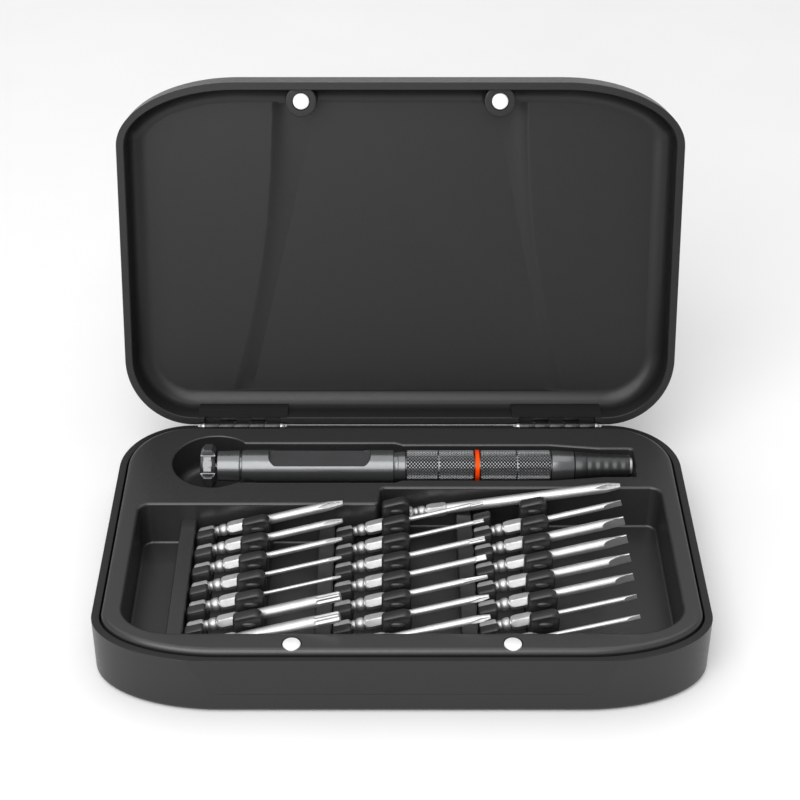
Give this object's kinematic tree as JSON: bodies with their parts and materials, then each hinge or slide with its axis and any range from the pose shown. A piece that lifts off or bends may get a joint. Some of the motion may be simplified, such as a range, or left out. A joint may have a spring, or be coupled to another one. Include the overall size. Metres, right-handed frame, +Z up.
{
  "type": "precision screwdriver set",
  "caption": "Hinged dark plastic case with a precision driver handle and small hex-shank bits laid in a tray.",
  "frame": {"origin": "centre of the underside of the case base, on the surface that it rests on", "axes": "+Z up from the resting face, -Y towards the opening edge, +Y towards the lid hinges, +X to the right seen from the opening edge"},
  "size_m": [0.174, 0.1569, 0.122],
  "materials": {
    "shell_plastic": "fine matte moulded texture",
    "tray_plastic": "fine matte moulded texture",
    "holder_rubber": "soft matte rubber",
    "magnet_nickel": "bright nickel plating",
    "hinge_metal": "black plated steel",
    "bit_steel": "bright polished steel",
    "anodised_aluminium": "satin dark grey anodised",
    "dark_grip_metal": "diamond knurled, dark anodised",
    "accent_orange": "satin orange-red",
    "crown_metal": "bright bevelled facets"
  },
  "bodies": {
    "case": {"base_shell": "shell_plastic", "bit_tray": "tray_plastic", "bit_holder_1": "holder_rubber", "bit_holder_2": "holder_rubber", "bit_holder_3": "holder_rubber", "tray_magnet_left": "magnet_nickel", "tray_magnet_right": "magnet_nickel", "hinge_left_base_leaf": "hinge_metal", "hinge_right_base_leaf": "hinge_metal", "hinge_left_pin": "bit_steel", "hinge_right_pin": "bit_steel"},
    "lid": {"lid_shell": "shell_plastic", "lid_magnet_left": "magnet_nickel", "lid_magnet_right": "magnet_nickel", "hinge_left_lid_leaf": "hinge_metal", "hinge_right_lid_leaf": "hinge_metal"},
    "handle": {"handle_barrel": "anodised_aluminium", "grip_sleeve_rear": "dark_grip_metal", "accent_ring": "accent_orange", "grip_sleeve_front": "dark_grip_metal", "front_collar": "anodised_aluminium", "nose_cone": "dark_grip_metal", "bit_socket": "bit_steel", "socket_magnet": "magnet_nickel", "cap_screw": "bit_steel", "cap_bearing": "bit_steel"},
    "cap": {"swivel_cap": "crown_metal"},
    "bit_cross_1": {"bit_cross_1": "bit_steel"},
    "bit_cross_2": {"bit_cross_2": "bit_steel"},
    "bit_cross_3": {"bit_cross_3": "bit_steel"},
    "bit_cross_4": {"bit_cross_4": "bit_steel"},
    "bit_cross_5": {"bit_cross_5": "bit_steel"},
    "bit_star_1": {"bit_star_1": "bit_steel"},
    "bit_star_2": {"bit_star_2": "bit_steel"},
    "bit_star_3": {"bit_star_3": "bit_steel"},
    "bit_star_4": {"bit_star_4": "bit_steel"},
    "bit_star_5": {"bit_star_5": "bit_steel"},
    "bit_triangle_1": {"bit_triangle_1": "bit_steel"},
    "bit_five_lobe_1": {"bit_five_lobe_1": "bit_steel"},
    "bit_tri_wing_1": {"bit_tri_wing_1": "bit_steel"},
    "bit_tri_wing_2": {"bit_tri_wing_2": "bit_steel"},
    "bit_slotted_1": {"bit_slotted_1": "bit_steel"},
    "bit_slotted_2": {"bit_slotted_2": "bit_steel"},
    "bit_slotted_3": {"bit_slotted_3": "bit_steel"},
    "bit_slotted_4": {"bit_slotted_4": "bit_steel"},
    "bit_slotted_5": {"bit_slotted_5": "bit_steel"},
    "bit_slotted_6": {"bit_slotted_6": "bit_steel"},
    "bit_slotted_7": {"bit_slotted_7": "bit_steel"},
    "bit_cross_long": {"bit_cross_long": "bit_steel"}
  },
  "joints": [
    {"name": "lid_hinge", "type": "hinge", "parent": "case", "child": "lid", "pos_m": [0, 0.0548, 0.01825], "axis": [-1, 0, 0], "range_deg": [-107.8, 0]},
    {"name": "handle_lift_out", "type": "slide", "parent": "case", "child": "handle", "axis": [0, 0, 1], "range_m": [0, 0.04]},
    {"name": "cap_spin", "type": "hinge", "parent": "handle", "child": "cap", "pos_m": [-0.06, 0.03305, 0.019], "axis": [1, 0, 0], "continuous": true},
    {"name": "bit_cross_1_draw_out", "type": "slide", "parent": "case", "child": "bit_cross_1", "axis": [0.9603, 0, 0.279], "range_m": [0, 0.03]},
    {"name": "bit_cross_2_draw_out", "type": "slide", "parent": "case", "child": "bit_cross_2", "axis": [0.9603, 0, 0.279], "range_m": [0, 0.03]},
    {"name": "bit_cross_3_draw_out", "type": "slide", "parent": "case", "child": "bit_cross_3", "axis": [0.9603, 0, 0.279], "range_m": [0, 0.03]},
    {"name": "bit_cross_4_draw_out", "type": "slide", "parent": "case", "child": "bit_cross_4", "axis": [0.9603, 0, 0.279], "range_m": [0, 0.03]},
    {"name": "bit_cross_5_draw_out", "type": "slide", "parent": "case", "child": "bit_cross_5", "axis": [0.9603, 0, 0.279], "range_m": [0, 0.03]},
    {"name": "bit_star_1_draw_out", "type": "slide", "parent": "case", "child": "bit_star_1", "axis": [0.9603, 0, 0.279], "range_m": [0, 0.03]},
    {"name": "bit_star_2_draw_out", "type": "slide", "parent": "case", "child": "bit_star_2", "axis": [0.9603, 0, 0.279], "range_m": [0, 0.03]},
    {"name": "bit_star_3_draw_out", "type": "slide", "parent": "case", "child": "bit_star_3", "axis": [0.9603, 0, 0.279], "range_m": [0, 0.03]},
    {"name": "bit_star_4_draw_out", "type": "slide", "parent": "case", "child": "bit_star_4", "axis": [0.9603, 0, 0.279], "range_m": [0, 0.03]},
    {"name": "bit_star_5_draw_out", "type": "slide", "parent": "case", "child": "bit_star_5", "axis": [0.9603, 0, 0.279], "range_m": [0, 0.03]},
    {"name": "bit_triangle_1_draw_out", "type": "slide", "parent": "case", "child": "bit_triangle_1", "axis": [0.9603, 0, 0.279], "range_m": [0, 0.03]},
    {"name": "bit_five_lobe_1_draw_out", "type": "slide", "parent": "case", "child": "bit_five_lobe_1", "axis": [0.9603, 0, 0.279], "range_m": [0, 0.03]},
    {"name": "bit_tri_wing_1_draw_out", "type": "slide", "parent": "case", "child": "bit_tri_wing_1", "axis": [0.9603, 0, 0.279], "range_m": [0, 0.03]},
    {"name": "bit_tri_wing_2_draw_out", "type": "slide", "parent": "case", "child": "bit_tri_wing_2", "axis": [0.9603, 0, 0.279], "range_m": [0, 0.03]},
    {"name": "bit_slotted_1_draw_out", "type": "slide", "parent": "case", "child": "bit_slotted_1", "axis": [0.9603, 0, 0.279], "range_m": [0, 0.03]},
    {"name": "bit_slotted_2_draw_out", "type": "slide", "parent": "case", "child": "bit_slotted_2", "axis": [0.9603, 0, 0.279], "range_m": [0, 0.03]},
    {"name": "bit_slotted_3_draw_out", "type": "slide", "parent": "case", "child": "bit_slotted_3", "axis": [0.9603, 0, 0.279], "range_m": [0, 0.03]},
    {"name": "bit_slotted_4_draw_out", "type": "slide", "parent": "case", "child": "bit_slotted_4", "axis": [0.9603, 0, 0.279], "range_m": [0, 0.03]},
    {"name": "bit_slotted_5_draw_out", "type": "slide", "parent": "case", "child": "bit_slotted_5", "axis": [0.9603, 0, 0.279], "range_m": [0, 0.03]},
    {"name": "bit_slotted_6_draw_out", "type": "slide", "parent": "case", "child": "bit_slotted_6", "axis": [0.9603, 0, 0.279], "range_m": [0, 0.03]},
    {"name": "bit_slotted_7_draw_out", "type": "slide", "parent": "case", "child": "bit_slotted_7", "axis": [0.9603, 0, 0.279], "range_m": [0, 0.03]},
    {"name": "bit_cross_long_draw_out", "type": "slide", "parent": "case", "child": "bit_cross_long", "axis": [0.9862, 0, 0.1657], "range_m": [0, 0.03]}
  ]
}
